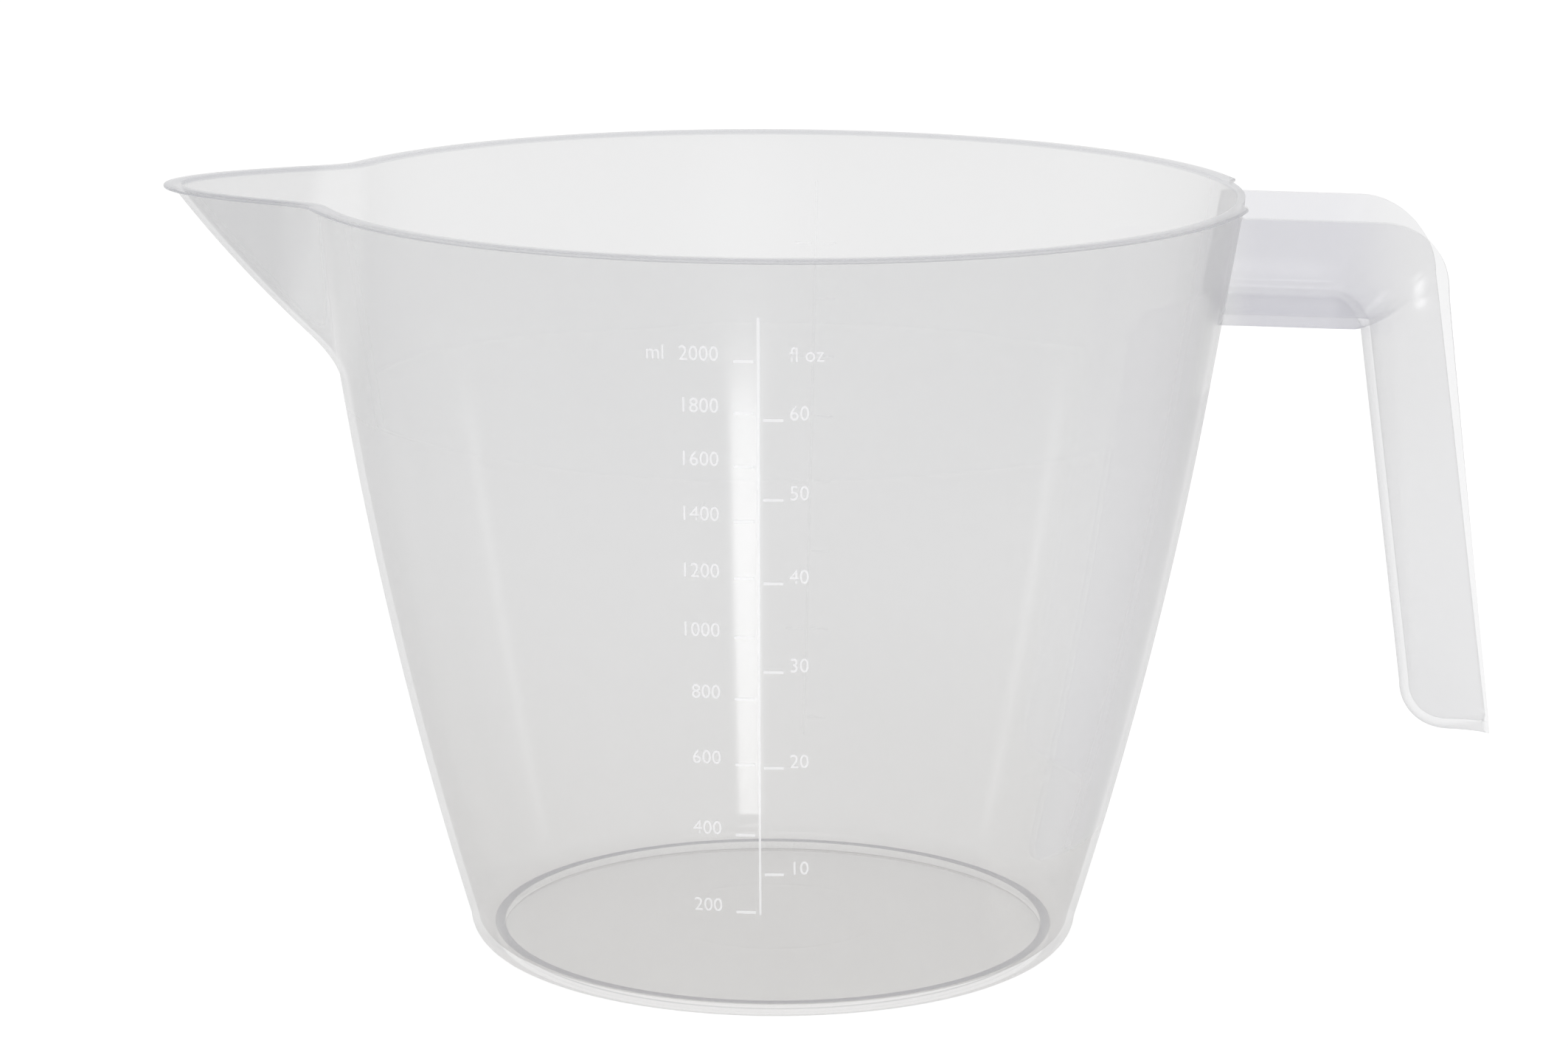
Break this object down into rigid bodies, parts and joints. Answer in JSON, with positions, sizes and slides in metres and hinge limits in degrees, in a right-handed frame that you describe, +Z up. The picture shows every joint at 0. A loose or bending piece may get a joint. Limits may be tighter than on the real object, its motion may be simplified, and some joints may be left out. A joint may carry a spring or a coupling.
{
  "type": "measuring jug",
  "caption": "Tapered translucent plastic measuring jug with a pouring spout, an open hook handle and raised volume scales.",
  "frame": {"origin": "centre of the circle that the foot ring stands on", "axes": "+Z up along the bowl's axis, +X towards the handle, -X towards the pouring spout, -Y towards the main scale"},
  "size_m": [0.2536, 0.18, 0.1456],
  "materials": {
    "bowl": "natural polypropylene, satin gloss, milky translucent",
    "spout": "natural polypropylene, satin gloss, milky translucent",
    "handle": "natural polypropylene, satin gloss, milky translucent",
    "rim": "thicker natural polypropylene, satin gloss",
    "marks": "raised natural polypropylene, gloss"
  },
  "bodies": {
    "root": {"bowl_wall": "bowl", "base_corner": "bowl", "floor_disc": "bowl", "foot_ring": "rim", "rim_bead": "rim", "pour_spout": "spout", "handle_arm": "handle", "handle_grip": "handle", "front_line": "marks", "millilitre_ticks": "marks", "fluid_ounce_ticks": "marks", "back_line": "marks", "pint_ticks": "marks", "cup_ticks": "marks"}
  },
  "joints": []
}
